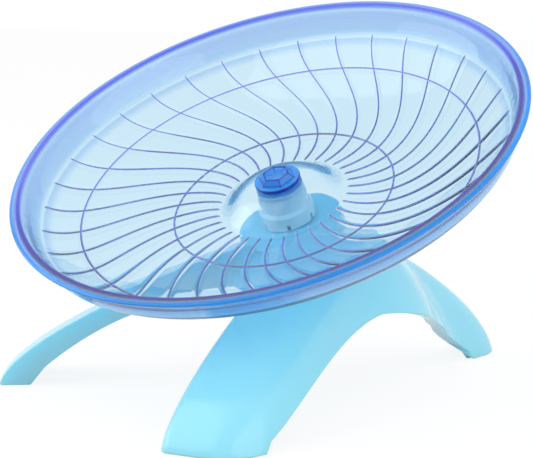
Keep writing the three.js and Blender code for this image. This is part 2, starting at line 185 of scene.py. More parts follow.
AXLE_EMBED = 11
EDGE_EASE = 0.8

# Fineness of the visual pieces
LATHE_SEGMENTS = 96
BOSS_SEGMENTS = 128
CAP_SEGMENTS = 144
CREASE_ANGLE = math.radians(35)
EASE_STEPS = 4
RIM_STEPS = 5
FACE_STEP = 0.9
LEAST_ROW_STEP_SHARE = 0.25
RIB_PROFILE_SHARES = (-1, -0.75, -0.5, -0.25, 0, 0.25, 0.5, 0.75, 1)
SPAN_SHARES = (0.2, 0.4, 0.6, 0.8)
STAND_COLUMNS = 420
STAND_ROWS = 40
OUTLINE_STEPS = 8
EDGE_STEP = 1
EDGE_HALVINGS = 12
CORNER_SHARES = (0, 0.25, 0.5, 0.75, 1)

# How much of the ridges, the rim and the cap is opaque colour in place of clear plastic: painted
# shade on the ridges and on the cap's edges, painted refraction colour on the rim's crest, partly
# the deeper tint and partly painted refraction colour on the rim's band and skirt, and the cap's own
# blue over its body
RIDGE_POWER = 1.3
RIDGE_PAINTED_SHADE_SHARE = 0.92
CREST_PAINTED_REFRACTION_SHARE = 0.32
BAND_TINT_AND_PAINTED_REFRACTION_SHARE = 0.6
SKIRT_SHARE = 0.38
CAP_EDGE_PAINTED_SHADE_SHARE = 0.8
CAP_BODY_SHARE = 0.5

# Where the rim's colours lie, down from its top and inward from its outer edge: the crest's painted
# refraction colour, and the band's deeper tint and painted refraction colour
CREST_DROP = 1.4
CREST_START = 1.4
CREST_END = 2.8
BAND_START = 0.7
BAND_END = 2.8
SKIRT_REACH = 3

# Colours as screen values of 0 to 255
DISH_COLOR = (250, 252, 255)
# The rim band's blue is partly the plastic's deeper tint where thick, partly painted refraction
# colour
BAND_TINT_AND_PAINTED_REFRACTION_COLOR = (20, 160, 255)
# Painted refraction: a purple line along the rim's inner top edge
CREST_PAINTED_REFRACTION_COLOR = (90, 85, 235)
# Painted shade: the ribs and beads are painted navy for the dark lines that refraction gives them
RIDGE_PAINTED_SHADE_COLOR = (20, 65, 225)
CAP_LIGHT_COLOR = (40, 185, 255)
CAP_DARK_COLOR = (15, 160, 250)
# Painted shade: the cap's flange rim, hexagon edges and corners are painted navy for the dark lines
# that refraction gives them
CAP_EDGE_PAINTED_SHADE_COLOR = (20, 60, 170)
FLOOR_COLOR = (205, 206, 208)
FLOOR_SEEN_COLOR = (110, 110, 110)
WHITE = (1, 1, 1, 1)

# From screen values to linear light
SCREEN_MOST = 255
SCREEN_KNEE = 0.04045
SCREEN_SLOPE = 12.92
SCREEN_OFFSET = 0.055
SCREEN_POWER = 2.4

# Sockets of a mix node that mixes colours
MIX_SHARE_INPUT = 0
MIX_FIRST_INPUT = 6
MIX_SECOND_INPUT = 7
MIX_OUTPUT = 2

# Floor, world and lamps
FLOOR_REACH = 3000
FLOOR_GAP = 0.05
FLOOR_GLOW = 0.86
WORLD_LIGHT = 0.8
WORLD_SEEN = 1
LAMPS = {
    "key": {"place": (-500, -500, 700), "target": (0, 0, 50), "width": 1100, "power": 2.6},
    "fill": {"place": (700, -200, 400), "target": (0, 0, 50), "width": 900, "power": 2},
    "side": {"place": (-700, -300, 200), "target": (0, 0, 30), "width": 700, "power": 1.2},
}

# Camera, as the photo was taken
CAMERA_PLACE = (307.3, -499.5, 139.2)
CAMERA_TURN = math.radians(31.6)
CAMERA_DIP = math.radians(8.3)
CAMERA_LENS = 118
SENSOR_WIDTH = 36
CLIP_START = 10
CLIP_END = 20000

# Heights along the axle, from the rim's plane downward
plateau_height = DOME_RISE - BOWL_DEPTH
cap_bottom = plateau_height + FIT
cap_top = cap_bottom + CAP_THICKNESS
stub_bottom = cap_bottom - STUB_LENGTH
housing_top = plateau_height - DISH_WALL - FIT
nut_top = stub_bottom - RUNNING_GAP
nut_bottom = nut_top - NUT_HEIGHT
bearing_top = nut_bottom - FIT - WASHER_THICKNESS - FIT
bearing_bottom = bearing_top - BEARING_WIDTH
cavity_bottom = bearing_top + FIT
collar_bottom = bearing_bottom - FIT - LIP_HEIGHT
seat_top = bearing_bottom - FIT - WASHER_THICKNESS - FIT
boss_top = seat_top - SEAT_HEIGHT
axle_bottom = seat_top - AXLE_EMBED
axle_radius = BEARING_BORE / 2 - FIT
collar_radius = BEARING_OUTSIDE / 2 + FIT + COLLAR_WALL


# Small helpers for meshes
def clamp(value, low, high):
    return max(low, min(high, value))


def smoothstep(value, low, high):
    share = clamp((value - low) / (high - low), 0, 1)
    return share * share * (3 - 2 * share)


def placed(point):
    """From the axle's frame to the leaning place in the part's frame."""
    x, y, height = point
    raised = height + PIVOT_DROP
    return (
        x,
        y * math.cos(LEAN) - raised * math.sin(LEAN) + FRAME_SHIFT,
        y * math.sin(LEAN) + raised * math.cos(LEAN) + PIVOT_HEIGHT,
    )


def shifted(point):
    return (point[0], point[1] + FRAME_SHIFT, point[2])


def make_object(name, points, faces, place):
    """A smooth mesh object from points in millimetres."""
    mesh = bpy.data.meshes.new(name)
    mesh.from_pydata([Vector(place(point)) * MM for point in points], [], faces)
    mesh.validate()
    mesh.update()
    mesh.shade_smooth()
    piece = bpy.data.objects.new(name, mesh)
    bpy.context.scene.collection.objects.link(piece)
    return piece


def grid_faces(row_count, column_count, rows_close):
    faces = []
    spans = row_count if rows_close else row_count - 1
    for row in range(spans):
        above = (row + 1) % row_count
        for column in range(column_count):
            beside = (column + 1) % column_count
            faces.append((
                row * column_count + column,
                row * column_count + beside,
                above * column_count + beside,
                above * column_count + column,
            ))
    return faces


def lathe_piece(name, profile, place=placed, segments=LATHE_SEGMENTS):
    """Revolves points of radius and height that run anticlockwise round the section.

    The section closes on itself, or starts and ends on the axis.
    """
    points = []
    rows = []
    for radius, height in profile:
        if radius == 0:
            rows.append([len(points)])
            points.append((0, 0, height))
            continue
        rows.append(list(range(len(points), len(points) + segments)))
        for index in range(segments):
            angle = index * FULL_TURN / segments
            points.append((radius * math.cos(angle), radius * math.sin(angle), height))
    closed = len(rows[0]) > 1
    faces = []
    for index in range(len(rows) if closed else len(rows) - 1):
        near, far = rows[index], rows[(index + 1) % len(rows)]
        for column in range(segments):
            beside = (column + 1) % segments
            if len(near) == 1:
                faces.append((near[0], far[beside], far[column]))
            elif len(far) == 1:
                faces.append((near[column], near[beside], far[0]))
            else:
                faces.append((near[column], near[beside], far[beside], far[column]))
    return make_object(name, points, faces, place)


def eased_corner(before, corner, after, ease):
    """Points of an arc-like curve that cuts off a corner, at most one ease long on each side."""
    corner = Vector(corner)
    back = Vector(before) - corner
    ahead = Vector(after) - corner
    start = corner + back.normalized() * min(ease, back.length / 2)
    end = corner + ahead.normalized() * min(ease, ahead.length / 2)
    points = []
    for step in range(EASE_STEPS + 1):
        share = step / EASE_STEPS
        point = start.lerp(corner, share).lerp(corner.lerp(end, share), share)
        points.append((point.x, point.y))
    return points


def rounded(profile, ease):
    """The same closed profile with each corner off the axis eased."""
    result = []
    for index, corner in enumerate(profile):
        if corner[0] == 0:
            result.append(corner)
            continue
        after = profile[(index + 1) % len(profile)]
        result += eased_corner(profile[index - 1], corner, after, ease)
    return result


def apply_boolean(piece, other, operation):
    """Joins or cuts a piece with another one, which is used up."""
    step = piece.modifiers.new(operation, "BOOLEAN")
    step.operation = operation
    step.solver = "EXACT"
    step.object = other
    bpy.context.view_layer.update()
    evaluated = piece.evaluated_get(bpy.context.evaluated_depsgraph_get())
    result = bpy.data.meshes.new_from_object(evaluated)
    piece.modifiers.clear()
    piece.data = result
    bpy.data.objects.remove(other)


def crease(piece):
    """Shades a piece smooth except over its sharp edges."""
    piece.data.shade_smooth()
    piece.data.set_sharp_from_angle(angle=CREASE_ANGLE)


def add_values(piece, name, values):
    """Stores one number for each point, which a material reads by its name."""
    layer = piece.data.attributes.new(name, "FLOAT", "POINT")
    layer.data.foreach_set("value", values)


# Dish
def rib_turn(radius):
    hook = clamp((RIB_HOOK_RADIUS - radius) / (RIB_HOOK_RADIUS - RIB_INNER_RADIUS), 0, 1)
    dip = -RIB_HOOK * (1 - hook * hook)
    return dip + RIB_SWEEP * smoothstep(radius, RIB_HOOK_RADIUS, RIB_OUTER_RADIUS)


def face_height(radius):
    dome_reach = clamp((radius - PLATEAU_RADIUS) / (DOME_RADIUS - PLATEAU_RADIUS), 0, 1)
    dome = DOME_RISE * (1 - smoothstep(dome_reach ** DOME_EASE, 0, 1))
    reach = max(0, radius - FLOOR_RADIUS) / (FLARE_RADIUS - FLOOR_RADIUS)
    curl = (1 - FLARE_SHARE) * reach ** 2 + FLARE_SHARE * reach ** FLARE_POWER
    return dome - BOWL_DEPTH + (BOWL_DEPTH - FLARE_HEIGHT) * curl


def underside_height(radius):
    slope = (face_height(radius + FIT) - face_height(radius - FIT)) / (2 * FIT)
    return face_height(radius) - DISH_WALL * math.hypot(1, slope)


def smooth_run(corners, steps):
    """A smooth curve through the corner points, without its first and last point."""
    points = []
    for index in range(1, len(corners) - 2):
        before, start, end, after = (Vector(corner) for corner in corners[index - 1:index + 3])
        for step in range(steps):
            share = step / steps
            square = share * share
            cube = square * share
            point = (
                start * 2
                + (end - before) * share
                + (before * 2 - start * 5 + end * 4 - after) * square
                + (start * 3 - before - end * 3 + after) * cube
            ) / 2
            points.append((point.x, point.y))
    return points


def bump_share(offset):
    """Height share of a rounded ridge at an offset of -1 to 1 across it."""
    return (1 + math.cos(math.pi * offset)) / 2


def bead_share(radius):
    for bead in BEAD_RADII:
        offset = (radius - bead) / (BEAD_WIDTH / 2)
        if abs(offset) < 1:
            return bump_share(offset)
    return 0


def face_radii():
    """Radii of the running face's rows, close together over the beads and the ribs' ends."""
    hole = STUB_RADIUS + FIT
    radii = {hole, PLATEAU_RADIUS}
    count = round((FLARE_RADIUS - hole) / FACE_STEP)
    for index in range(count + 1):
        radii.add(hole + (FLARE_RADIUS - hole) * index / count)
    for bead in BEAD_RADII:
        for share in RIB_PROFILE_SHARES:
            radii.add(bead + share * BEAD_WIDTH / 2)
    for share in CORNER_SHARES:
        radii.add(RIB_INNER_RADIUS + share * RIB_END)
        radii.add(RIB_OUTER_RADIUS - share * RIB_END)
    ordered = sorted(radii)
    least = LEAST_ROW_STEP_SHARE * BEAD_WIDTH / len(RIB_PROFILE_SHARES)
    kept = [radius for before, radius in zip(ordered, ordered[1:]) if radius - before > least]
    return [ordered[0], *kept]


def dish_rows():
    """Rows of radius, height and shares of rib, bead, crest and band, round the section; the crest
    and band shares carry the rim's painted refraction colour, and the band also the deeper tint.
    """
    rows = []
    for radius in face_radii():
        rising = smoothstep(radius, RIB_INNER_RADIUS, RIB_INNER_RADIUS + RIB_END)
        falling = smoothstep(RIB_OUTER_RADIUS - radius, 0, RIB_END)
        rows.append((radius, face_height(radius), rising * falling, bead_share(radius), 0, 0))
    rim_inner = RIM_RADIUS - RIM_WIDTH
    outside = FLARE_RADIUS + DISH_WALL * OUTER_WALL_SHARE
    corners = [
        (FLARE_RADIUS - FACE_STEP, face_height(FLARE_RADIUS - FACE_STEP)),
        (FLARE_RADIUS, -FLARE_HEIGHT),
        (rim_inner - 2 * RIM_EASE, -FLARE_HEIGHT / 2),
        (rim_inner - RIM_EASE / 2, -2 * RIM_EASE),
        (rim_inner + RIM_EASE / 2, -RIM_EASE / 4),
        (rim_inner + RIM_WIDTH / 2, 0),
        (RIM_RADIUS - RIM_EASE, -RIM_EASE / 4),
        (RIM_RADIUS, -RIM_EASE),
        (RIM_RADIUS - RIM_SLOPE, -RIM_LIP_DROP),
        (RIM_RADIUS - RIM_LIP_REACH, -2 * RIM_LIP_DROP),
        (outside, -FLARE_HEIGHT),
        (FLARE_RADIUS, underside_height(FLARE_RADIUS)),
        (FLARE_RADIUS - FACE_STEP, underside_height(FLARE_RADIUS - FACE_STEP)),
    ]
    for radius, height in smooth_run(corners, RIM_STEPS)[1:]:
        inset = RIM_RADIUS - radius
        # The crest share places a purple painted refraction line along the rim's inner top edge
        crest = smoothstep(height, -CREST_DROP, 0) * smoothstep(inset, CREST_START, CREST_END)
        band = 1 - smoothstep(inset, BAND_START, BAND_END)
        skirt = smoothstep(radius, FLARE_RADIUS, outside)
        skirt *= SKIRT_SHARE * smoothstep(-height, RIM_LIP_DROP, 2 * RIM_LIP_DROP)
        rows.append((radius, height, 0, 0, crest, max(band, skirt)))
    for radius in reversed(face_radii()):
        # The skirt share carries the band's deeper tint and painted refraction colour onto the
        # underside near the flare
        skirt = SKIRT_SHARE * smoothstep(radius, FLARE_RADIUS - SKIRT_REACH, FLARE_RADIUS)
        rows.append((radius, underside_height(radius), 0, 0, 0, skirt))
    return rows


def rib_offsets(radius):
    """Angles across one pitch, as (angle from the rib's middle, height share)."""
    half = RIB_WIDTH / 2 / radius
    pitch = FULL_TURN / RIB_COUNT
    offsets = [(share * half, bump_share(share)) for share in RIB_PROFILE_SHARES]
    for share in SPAN_SHARES:
        offsets.append((half + share * (pitch - 2 * half), 0))
    return offsets


def build_dish():
    rows = list(reversed(dish_rows()))
    points = []
    ridges = []
    crests = []
    bands = []
    for radius, height, rib, bead, crest, band in rows:
        width_radius = clamp(radius, RIB_INNER_RADIUS, RIB_OUTER_RADIUS)
        for index in range(RIB_COUNT):
            middle = RIB_PHASE + index * FULL_TURN / RIB_COUNT + rib_turn(radius)
            for offset, share in rib_offsets(width_radius):
                angle = middle + offset
                lift = max(rib * share * RIB_HEIGHT, bead * BEAD_HEIGHT)
                points.append((radius * math.cos(angle), radius * math.sin(angle), height + lift))
                ridges.append(max(rib * share, bead))
                crests.append(crest)
                bands.append(band)
    columns = len(points) // len(rows)
    piece = make_object("dish", points, grid_faces(len(rows), columns, True), placed)
    # The ridge share also places the painted shade on the ribs and beads
    add_values(piece, "ridge", ridges)
    add_values(piece, "crest", crests)
    add_values(piece, "band", bands)
    return piece


# Hub cap, housing and nut
def hex_radius(angle, across):
    """Reach of a hexagon with eased corners in a direction."""
    side = FULL_TURN / HEX_SIDES
    turn = (angle - HEX_PHASE) % side - side / 2
    flat = across / 2
    return min(flat / math.cos(turn), flat / math.cos(side / 2) - HEX_EASE / 4)


def corner_share(angle):
    """One at the hexagon's corners, falling to zero beside them, where painted shade lines run down
    the corners.
    """
    side = FULL_TURN / HEX_SIDES
    turn = abs((angle - HEX_PHASE + side / 2) % side - side / 2)
    return 1 - smoothstep(turn, 0, HEX_LINE)


def cap_rows():
    """Rows of radius, size across the hexagon, height and edge share of painted shade, from the
    recess to the top.

    A row has a radius where it is round, and a size across where it is a hexagon.
    """
    circle = rounded([
        (0, stub_bottom + STUB_LENGTH / 2),
        (STUB_BORE, stub_bottom + STUB_LENGTH / 2),
        (STUB_BORE, stub_bottom),
        (STUB_RADIUS, stub_bottom),
        (STUB_RADIUS, cap_bottom),
        (CAP_RADIUS, cap_bottom),
        (CAP_RADIUS, cap_top),
        (0, cap_top),
    ], CAP_EASE)
    rows = []
    for radius, height in circle[1:-1]:
        # The edge share places the painted shade on the flange's rim and, further down, on the
        # hexagon's edges
        edge = 1 if radius > CAP_RADIUS - CAP_EASE / 2 else 0
        rows.append((radius, 0, height, edge))
    top = cap_top + HEX_HEIGHT
    rows.append((CAP_RADIUS - 2 * CAP_EASE, 0, cap_top, 0))
    rows.append((0, HEX_ACROSS + HEX_EASE, cap_top, 0))
    rows.append((0, HEX_ACROSS, cap_top, 1))
    rows.append((0, HEX_ACROSS - HEX_EASE, cap_top + HEX_EASE, 0))
    rows.append((0, HEX_TOP_ACROSS + HEX_EASE, top - HEX_EASE, 0))
    rows.append((0, HEX_TOP_ACROSS, top, 1))
    rows.append((0, HEX_TOP_ACROSS - HEX_EASE, top, 1))
    rows.append((0, HEX_TOP_ACROSS - 2 * HEX_EASE, top - HEX_EASE, 0))
    rows.append((0, HEX_TOP_ACROSS / 2, top - HEX_DISH, 0))
    return rows


def build_cap():
    rows = cap_rows()
    points = []
    edges = []
    for radius, across, height, edge in rows:
        for column in range(CAP_SEGMENTS):
            angle = column * FULL_TURN / CAP_SEGMENTS
            reach = hex_radius(angle, across) if across else radius
            points.append((reach * math.cos(angle), reach * math.sin(angle), height))
            edges.append(max(edge, corner_share(angle)) if across else edge)
    faces = grid_faces(len(rows), CAP_SEGMENTS, False)
    centre = len(points)
    last = centre - CAP_SEGMENTS
    points.append((0, 0, rows[0][2]))
    points.append((0, 0, rows[-1][2]))
    for column in range(CAP_SEGMENTS):
        beside = (column + 1) % CAP_SEGMENTS
        faces.append((centre, beside, column))
        faces.append((last + column, last + beside, centre + 1))
    piece = make_object("cap", points, faces, placed)
    add_values(piece, "edge", [*edges, 0, 0])
    crease(piece)
    return piece


def build_housing():
    hole = BEARING_OUTSIDE / 2 + FIT
    housing = lathe_piece("housing", rounded([
        (STUB_RADIUS + FIT, housing_top),
        (STUB_RADIUS + FIT, housing_top - HOUSING_TOP),
        (CAVITY_RADIUS, housing_top - HOUSING_TOP),
        (CAVITY_RADIUS, cavity_bottom),
        (hole, cavity_bottom),
        (hole, bearing_bottom - FIT),
        (hole - LIP_REACH, bearing_bottom - FIT),
        (hole - LIP_REACH / 2, collar_bottom),
        (collar_radius, collar_bottom),
        (collar_radius, bearing_top),
        (HOUSING_RADIUS, bearing_top + COLLAR_WALL),
        (HOUSING_RADIUS, housing_top),
    ], CAP_EASE / 2))
    for index in range(FINGER_COUNT // 2):
        apply_boolean(housing, finger_slot(index * FULL_TURN / FINGER_COUNT), "DIFFERENCE")
    crease(housing)
    return housing


def finger_slot(angle):
    """A flat bar across the collar, which leaves two slots when it is cut away."""
    length = 2 * collar_radius
    low, high = collar_bottom - FIT, collar_bottom + FINGER_LENGTH
    points = []
    for height in (low, high):
        for along, across in ((-1, -1), (1, -1), (1, 1), (-1, 1)):
            x, y = along * length, across * FINGER_SLOT / 2
            points.append((
                x * math.cos(angle) - y * math.sin(angle),
                x * math.sin(angle) + y * math.cos(angle),
                height,
            ))
    faces = [(3, 2, 1, 0), (4, 5, 6, 7), (0, 1, 5, 4), (1, 2, 6, 5), (2, 3, 7, 6), (3, 0, 4, 7)]
    return make_object("slot", points, faces, placed)


def build_nut():
    bore = axle_radius + FIT
    return lathe_piece("nut", rounded([
        (0, nut_top - NUT_CROWN),
        (bore, nut_top - NUT_CROWN),
        (bore, nut_bottom),
        (NUT_RADIUS, nut_bottom),
        (NUT_RADIUS, nut_top),
        (0, nut_top),
    ], CAP_EASE))


# Stand
def reach_share(height):
    return 1 - PROFILE_DROP_SHARE * (max(0, height) / PROFILE_HEIGHT) ** PROFILE_POWER


def leg_outline(leg, angle, height, inset):
    reach = max(LEAST_REACH, leg["reach"] * reach_share(height + inset) - inset)
    turn = angle - leg["azimuth"]
    along = math.cos(turn)
    side = math.copysign(1, math.sin(turn))
    taper_share = leg["taper_shares"][1 if side > 0 else 0] * height / CROWN_HEIGHT
    full_width = leg["half_width"] + side * leg["side_reach"]
    side_width = max(LEAST_REACH, full_width * (1 - taper_share) - inset)
    if along <= 0:
        return side_width * (1 - along * along)
    across = abs(math.sin(turn))
    total = (along / reach) ** LEG_SQUARENESS + (across / side_width) ** LEG_SQUARENESS
    return total ** (-1 / LEG_SQUARENESS)


def outline_radius(angle, height, inset):
    core_share = max(0, 1 - ((height + inset) / CORE_HEIGHT) ** 2)
    core = max(LEAST_REACH, CORE_RADIUS * math.sqrt(core_share) - inset)
    total = core ** LEG_BLEND
    for leg in (*LEGS, SHOULDER):
        total += leg_outline(leg, angle, height, inset) ** LEG_BLEND
    return total ** (1 / LEG_BLEND)


def shell_point(angle, height, inset):
    radius = outline_radius(angle, height, inset)
    x = STAND_CENTRE[0] + radius * math.sin(angle)
    y = STAND_CENTRE[1] - radius * math.cos(angle)
    return Vector((x, y, height))


def foot_corner(leg, side):
    reach = leg["reach"] - leg["foot_depths"][1 if side > 0 else 0]
    sideways = side * leg["half_width"] + leg["side_reach"]
    turn = leg["azimuth"]
    return Vector((
        STAND_CENTRE[0] + reach * math.sin(turn) + sideways * math.cos(turn),
        STAND_CENTRE[1] - reach * math.cos(turn) + sideways * math.sin(turn),
    ))


def arch_frames():
    """Middle, span, first leg's direction, sweep to the next leg and form of each opening."""
    frames = []
    for index, leg in enumerate(LEGS):
        after = LEGS[(index + 1) % len(LEGS)]
        start = foot_corner(leg, 1)
        end = foot_corner(after, -1)
        sweep = (after["azimuth"] - leg["azimuth"]) % FULL_TURN
        frames.append(((start + end) / 2, end - start, leg["azimuth"], sweep, ARCHES[index]))
    return frames


arch_places = arch_frames()


def arch_ceiling(point):
    """Height of the opening over a point on the floor plan, or zero on a foot."""
    angle = math.atan2(point.x - STAND_CENTRE[0], STAND_CENTRE[1] - point.y)
    flat = Vector((point.x, point.y))
    for middle, span, azimuth, sweep, arch in arch_places:
        share = 2 * (flat - middle).dot(span) / span.length_squared
        if (angle - azimuth) % FULL_TURN < sweep and abs(share) < 1:
            power = arch["start_power"] if share < 0 else arch["end_power"]
            rise = (arch["rise"] - FOOT_SOLE) * (1 - abs(share) ** power)
            return FOOT_SOLE + rise
    return 0


def edge_height(angle, inset):
    """Height at which the shell's surface starts over an opening."""
    low = 0
    if arch_ceiling(shell_point(angle, 0, inset)) == 0:
        return 0
    high = 0
    while high < CROWN_HEIGHT and arch_ceiling(shell_point(angle, high, inset)) > high:
        low = high
        high += EDGE_STEP
    for _ in range(EDGE_HALVINGS):
        middle = (low + high) / 2
        if arch_ceiling(shell_point(angle, middle, inset)) > middle:
            low = middle
        else:
            high = middle
    return high


def stand_angles():
    """Directions at even steps along the stand's outline near the floor."""
    fine = STAND_COLUMNS * OUTLINE_STEPS
    angles = [LEGS[0]["azimuth"] + index * FULL_TURN / fine for index in range(fine + 1)]
    lengths = [0]
    for first, second in zip(angles, angles[1:]):
        step = shell_point(second, FOOT_SOLE, 0) - shell_point(first, FOOT_SOLE, 0)
        lengths.append(lengths[-1] + step.length)
    picked = []
    at = 0
    for index in range(STAND_COLUMNS):
        target = lengths[-1] * index / STAND_COLUMNS
        while lengths[at + 1] < target:
            at += 1
        share = (target - lengths[at]) / (lengths[at + 1] - lengths[at])
        picked.append(angles[at] + share * (angles[at + 1] - angles[at]))
    return picked


def surface_run(angle, inset, start):
    """Points of one column from its edge up to near the crown."""
    top = CROWN_HEIGHT - inset
    points = []
    for row in range(STAND_ROWS):
        share = math.sin(row / STAND_ROWS * math.pi / 2)
        points.append(shell_point(angle, start + (top - start) * share, inset))
    return points


def corner_run(start, corner, end):
    """Points of a curve from start to end that bends towards the corner."""
    points = []
    for share in CORNER_SHARES:
        points.append(start.lerp(corner, share).lerp(corner.lerp(end, share), share))
    return points


def shell_column(angle):
    """One column of the shell: down the outer face, round the edge and up the inner face."""
    outer_low = edge_height(angle, 0)
    inner_low = edge_height(angle, STAND_WALL)
    outer_edge = shell_point(angle, outer_low, 0)
    inner_edge = shell_point(angle, inner_low, STAND_WALL)
    outer = surface_run(angle, 0, outer_low + EDGE_EASE)
    inner = surface_run(angle, STAND_WALL, inner_low + EDGE_EASE)
    across = (inner_edge - outer_edge).normalized() * EDGE_EASE
    column = list(reversed(outer[1:]))
    column += corner_run(outer[0], outer_edge, outer_edge + across)
    column += corner_run(inner_edge - across, inner_edge, inner[0])
    column += inner[1:]
    return column


def build_stand():
    """The shell, cut open at the boss and joined with the boss's cup and the axle's stem."""
    columns = [shell_column(angle) for angle in stand_angles()]
    row_count = len(columns[0])
    points = [column[row] for row in range(row_count) for column in columns]
    faces = [tuple(reversed(face)) for face in grid_faces(row_count, len(columns), False)]
    count = len(columns)
    top = len(points)
    points.append(Vector((*STAND_CENTRE, CROWN_HEIGHT)))
    points.append(Vector((*STAND_CENTRE, CROWN_HEIGHT - STAND_WALL)))
    last = (row_count - 1) * count
    for column in range(count):
        beside = (column + 1) % count
        faces.append((top, column, beside))
        faces.append((top + 1, last + beside, last + column))
    stand = make_object("stand_shell", points, faces, shifted)
    inside = BOSS_RADIUS - STAND_WALL
    plug = lathe_piece("plug", [
        (0, boss_top - BOSS_DEPTH),
        (BOSS_RADIUS - STAND_WALL / 2, boss_top - BOSS_DEPTH),
        (BOSS_RADIUS - STAND_WALL / 2, boss_top + 2 * BOSS_DEPTH),
        (0, boss_top + 2 * BOSS_DEPTH),
    ], segments=BOSS_SEGMENTS)
    apply_boolean(stand, plug, "DIFFERENCE")
    cup = lathe_piece("cup", [
        (0, seat_top - STEM_LENGTH),
        (STEM_RADIUS, seat_top - STEM_LENGTH),
        (STEM_RADIUS, boss_top - STAND_WALL),
        (inside, boss_top - STAND_WALL),
        (inside, boss_top - BOSS_DEPTH),
        (BOSS_RADIUS, boss_top - BOSS_DEPTH),
        *eased_corner(
            (BOSS_RADIUS, boss_top - BOSS_DEPTH),
            (BOSS_RADIUS, boss_top),
            (SEAT_RADIUS, boss_top),
            BOSS_EASE,
        ),
        (SEAT_RADIUS, boss_top),
        (SEAT_RADIUS, seat_top),
        (axle_radius + FIT, seat_top),
        (axle_radius + FIT, axle_bottom - FIT),
        (0, axle_bottom - FIT),
    ], segments=BOSS_SEGMENTS)
    apply_boolean(stand, cup, "UNION")
    crease(stand)
    return stand


# Materials
class Shader:
    """Adds nodes to the tree of a material or a world and joins them."""

    def __init__(self, owner, output_kind):
        owner.use_nodes = True
        self.tree = owner.node_tree
        self.tree.nodes.clear()
        self.output = self.node(output_kind)

    def node(self, kind, settings=None, **inputs):
        made = self.tree.nodes.new("ShaderNode" + kind)
        for name, value in (settings or {}).items():
            setattr(made, name, value)
        for name, value in inputs.items():
            self.feed(made.inputs[name.replace("_", " ")], value)
        return made

    def feed(self, socket, value):
        if isinstance(value, bpy.types.NodeSocket):
            self.tree.links.new(value, socket)
        else:
            socket.default_value = value

    def attribute(self, name):
        return self.node("Attribute", {"attribute_name": name}).outputs["Fac"]

    def mix(self, share, first, second):
        made = self.node("Mix", {"data_type": "RGBA"})
        self.feed(made.inputs[MIX_SHARE_INPUT], share)
        self.feed(made.inputs[MIX_FIRST_INPUT], first)
        self.feed(made.inputs[MIX_SECOND_INPUT], second)
        return made.outputs[MIX_OUTPUT]

    def math(self, operation, first, second):
        made = self.node("Math", {"operation": operation})
        self.feed(made.inputs[0], first)
        self.feed(made.inputs[1], second)
        return made.outputs[0]

    def ranged(self, share, low, span):
        """A value that goes from low to low plus span as a share goes from 0 to 1."""
        return self.math("ADD", self.math("MULTIPLY", share, span), low)

    def noise(self, scale, detail):
        place = self.node("TexCoord").outputs["Object"]
        return self.node("TexNoise", Vector=place, Scale=scale, Detail=detail).outputs[0]

    def bump(self, height, strength):
        return self.node("Bump", Strength=strength, Distance=MM, Height=height).outputs[0]

    def blend(self, kind, first, second):
        """Mixes or adds two shaders; the caller feeds a mix its share."""
        made = self.node(kind)
        self.tree.links.new(first.outputs[0], made.inputs[-2])
        self.tree.links.new(second.outputs[0], made.inputs[-1])
        return made

    def surface(self, shader):
        self.tree.links.new(shader.outputs[0], self.output.inputs["Surface"])

    def volume(self, shader):
        self.tree.links.new(shader.outputs[0], self.output.inputs["Volume"])

    def surface_with_veil(self, shader, shadow):
        """Shows a shader, and a tinted veil to the rays that look for the lamps through it."""
        veil = self.node("BsdfTransparent", Color=srgb(shadow))
        both = self.blend("MixShader", shader, veil)
        self.feed(both.inputs[0], self.node("LightPath").outputs["Is Shadow Ray"])
        self.surface(both)

    def seen(self):
        """One for rays that see a surface straight, mirrored or through plastic, zero for light."""
        rays = self.node("LightPath").outputs
        straight = self.math("MAXIMUM", rays["Is Camera Ray"], rays["Is Glossy Ray"])
        return self.math("MAXIMUM", straight, rays["Is Transmission Ray"])


def srgb(color):
    """An opaque colour from screen values of 0 to 255."""
    def linear(value):
        share = value / SCREEN_MOST
        if share <= SCREEN_KNEE:
            return share / SCREEN_SLOPE
        return ((share + SCREEN_OFFSET) / (1 + SCREEN_OFFSET)) ** SCREEN_POWER
    return (*(linear(value) for value in color), 1)


def new_material(name):
    material = bpy.data.materials.new(name)
    return material, Shader(material, "OutputMaterial")


def clear_plastic(name, base, clearness, absorb_color, absorb_density, shadow, roughness, ripple):
    """Clear moulded plastic that lets lamp light through, tinted by its thickness."""
    material, shader = new_material(name)
    waves = shader.noise(scale=60, detail=3)
    fine = shader.noise(scale=900, detail=2)
    shader.surface_with_veil(shader.node(
        "BsdfPrincipled",
        Base_Color=base(shader),
        Roughness=shader.ranged(fine, low=roughness / 2, span=roughness),
        IOR=1.49,
        Transmission_Weight=clearness(shader),
        Normal=shader.bump(waves, ripple),
    ), shadow)
    absorb = shader.node("VolumeAbsorption", Color=srgb(absorb_color), Density=absorb_density)
    shader.volume(absorb)
    return material


# The dish's colour: the plastic's pale tint, with painted shade as navy on the ribs and beads,
# painted refraction colour on the rim's crest, and the deeper tint and painted refraction colour on
# the band
def dish_base(shader):
    ridge = shader.math("POWER", shader.attribute("ridge"), RIDGE_POWER)
    rim = shader.mix(shader.attribute("band"), srgb(DISH_COLOR), srgb(BAND_TINT_AND_PAINTED_REFRACTION_COLOR))
    rim = shader.mix(shader.attribute("crest"), rim, srgb(CREST_PAINTED_REFRACTION_COLOR))
    return shader.mix(ridge, rim, srgb(RIDGE_PAINTED_SHADE_COLOR))


